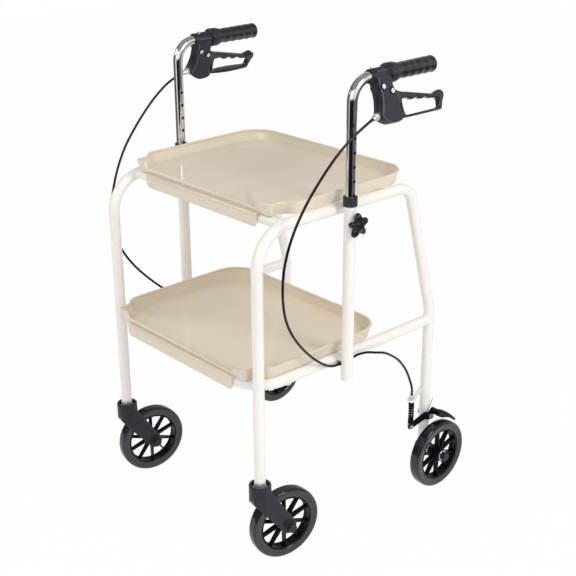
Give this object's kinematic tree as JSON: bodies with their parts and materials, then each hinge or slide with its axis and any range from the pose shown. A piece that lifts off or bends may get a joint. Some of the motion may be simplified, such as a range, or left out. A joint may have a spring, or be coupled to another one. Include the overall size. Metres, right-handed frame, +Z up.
{
  "type": "indoor walker with trays",
  "caption": "Indoor walker on wheels with lift-off trays, height-adjustable chromed handles, cable-operated loop brakes and swivelling front casters.",
  "frame": {"origin": "on the floor, under the middle of the outline", "axes": "+Z up, -Y the way the walker rolls, +X the user's left"},
  "size_m": [0.5822, 0.5671, 0.9425],
  "materials": {
    "ivory_paint": "ivory powder coat, satin gloss",
    "chromed_tube": "bright chrome plating",
    "beige_plastic": "glossy moulded plastic",
    "black_plastic": "lightly textured black plastic",
    "wheel_plastic": "matt dark grey plastic",
    "grip_rubber": "soft black rubber",
    "tyre_rubber": "solid black rubber",
    "cable_casing": "black plastic casing",
    "silver_steel": "zinc-plated steel",
    "black_steel": "black-coated spring wire"
  },
  "bodies": {
    "frame": {"side_frame_left": "ivory_paint", "side_frame_right": "ivory_paint", "lower_rail": "ivory_paint", "front_cross_tube": "ivory_paint", "rear_cross_tube": "ivory_paint", "lower_cross_tube": "ivory_paint", "handle_post_left": "ivory_paint", "handle_post_right": "ivory_paint", "post_stubs": "ivory_paint", "post_collars": "black_plastic", "rear_axles": "silver_steel", "axle_washers": "silver_steel", "axle_caps": "black_plastic", "brake_pivots": "silver_steel", "cable_brackets": "ivory_paint", "cable_stops": "silver_steel", "cable_guides": "black_plastic", "caster_stems": "silver_steel", "brake_cable_left": "cable_casing", "brake_cable_right": "cable_casing", "brake_spring_left": "black_steel", "brake_spring_right": "black_steel", "brake_wire_left": "silver_steel", "brake_wire_right": "silver_steel"},
    "upper_tray": {"upper_tray": "beige_plastic"},
    "lower_tray": {"lower_tray": "beige_plastic"},
    "handle_left": {"handle_tube_left": "chromed_tube", "grip_left": "grip_rubber", "brake_housing_left": "black_plastic", "housing_pins_left": "silver_steel", "cable_adjuster_left": "silver_steel"},
    "lever_left": {"brake_lever_left": "black_plastic"},
    "brake_arm_left": {"brake_arm_left": "black_plastic", "wire_anchor_left": "silver_steel"},
    "knob_left": {"height_knob_left": "black_plastic", "knob_stud_left": "silver_steel"},
    "caster_left": {"caster_fork_left": "black_plastic", "front_axle_left": "black_plastic"},
    "front_wheel_left": {"front_hub_left": "wheel_plastic", "front_tyre_left": "tyre_rubber"},
    "rear_wheel_left": {"rear_hub_left": "wheel_plastic", "rear_tyre_left": "tyre_rubber"},
    "handle_right": {"handle_tube_right": "chromed_tube", "grip_right": "grip_rubber", "brake_housing_right": "black_plastic", "housing_pins_right": "silver_steel", "cable_adjuster_right": "silver_steel"},
    "lever_right": {"brake_lever_right": "black_plastic"},
    "brake_arm_right": {"brake_arm_right": "black_plastic", "wire_anchor_right": "silver_steel"},
    "knob_right": {"height_knob_right": "black_plastic", "knob_stud_right": "silver_steel"},
    "caster_right": {"caster_fork_right": "black_plastic", "front_axle_right": "black_plastic"},
    "front_wheel_right": {"front_hub_right": "wheel_plastic", "front_tyre_right": "tyre_rubber"},
    "rear_wheel_right": {"rear_hub_right": "wheel_plastic", "rear_tyre_right": "tyre_rubber"}
  },
  "joints": [
    {"name": "upper_tray_lift", "type": "slide", "parent": "frame", "child": "upper_tray", "axis": [0, 0, 1], "range_m": [0, 0.15]},
    {"name": "lower_tray_lift", "type": "slide", "parent": "frame", "child": "lower_tray", "axis": [0, 0, 1], "range_m": [0, 0.1]},
    {"name": "handle_height_left", "type": "slide", "parent": "frame", "child": "handle_left", "axis": [0, 0, 1], "range_m": [-0.1325, 0.0265], "deforming": ["brake_cable_left"]},
    {"name": "lever_squeeze_left", "type": "hinge", "parent": "handle_left", "child": "lever_left", "pos_m": [0.26081, 0.017, 0.89318], "axis": [0.9483, 0, 0.3173], "range_deg": [0, 15], "stiffness_Nm_per_rad": 4, "springref_deg": -5.73},
    {"name": "brake_arm_swing_left", "type": "hinge", "parent": "frame", "child": "brake_arm_left", "pos_m": [0.2365, 0.21, 0.156], "axis": [1, 0, 0], "range_deg": [-4.5, 0], "deforming": ["brake_spring_left", "brake_wire_left"]},
    {"name": "knob_turn_left", "type": "hinge", "parent": "frame", "child": "knob_left", "pos_m": [0.27, -0.061, 0.6635], "axis": [1, 0, 0], "range_deg": [0, 540]},
    {"name": "caster_swivel_left", "type": "hinge", "parent": "frame", "child": "caster_left", "pos_m": [0.22, -0.26, 0.15], "axis": [0, 0, 1], "continuous": true},
    {"name": "front_wheel_spin_left", "type": "hinge", "parent": "caster_left", "child": "front_wheel_left", "pos_m": [0.22837, -0.20716, 0.075], "axis": [0.9877, -0.1564, 0], "continuous": true},
    {"name": "rear_wheel_spin_left", "type": "hinge", "parent": "frame", "child": "rear_wheel_left", "pos_m": [0.26, 0.21, 0.075], "axis": [1, 0, 0], "continuous": true},
    {"name": "handle_height_right", "type": "slide", "parent": "frame", "child": "handle_right", "axis": [0, 0, 1], "range_m": [-0.1325, 0.0265], "deforming": ["brake_cable_right"]},
    {"name": "lever_squeeze_right", "type": "hinge", "parent": "handle_right", "child": "lever_right", "pos_m": [-0.26081, 0.017, 0.89318], "axis": [0.9483, 0, -0.3173], "range_deg": [0, 15], "stiffness_Nm_per_rad": 4, "springref_deg": -5.73},
    {"name": "brake_arm_swing_right", "type": "hinge", "parent": "frame", "child": "brake_arm_right", "pos_m": [-0.2365, 0.21, 0.156], "axis": [1, 0, 0], "range_deg": [-4.5, 0], "deforming": ["brake_spring_right", "brake_wire_right"]},
    {"name": "knob_turn_right", "type": "hinge", "parent": "frame", "child": "knob_right", "pos_m": [-0.27, -0.061, 0.6635], "axis": [-1, 0, 0], "range_deg": [0, 540]},
    {"name": "caster_swivel_right", "type": "hinge", "parent": "frame", "child": "caster_right", "pos_m": [-0.22, -0.26, 0.15], "axis": [0, 0, 1], "continuous": true},
    {"name": "front_wheel_spin_right", "type": "hinge", "parent": "caster_right", "child": "front_wheel_right", "pos_m": [-0.21163, -0.20716, 0.075], "axis": [0.9877, -0.1564, 0], "continuous": true},
    {"name": "rear_wheel_spin_right", "type": "hinge", "parent": "frame", "child": "rear_wheel_right", "pos_m": [-0.26, 0.21, 0.075], "axis": [1, 0, 0], "continuous": true}
  ],
  "couplings": [
    {"joint": "brake_arm_swing_left", "follows": "lever_squeeze_left", "ratio": -0.3},
    {"joint": "brake_arm_swing_right", "follows": "lever_squeeze_right", "ratio": -0.3}
  ]
}
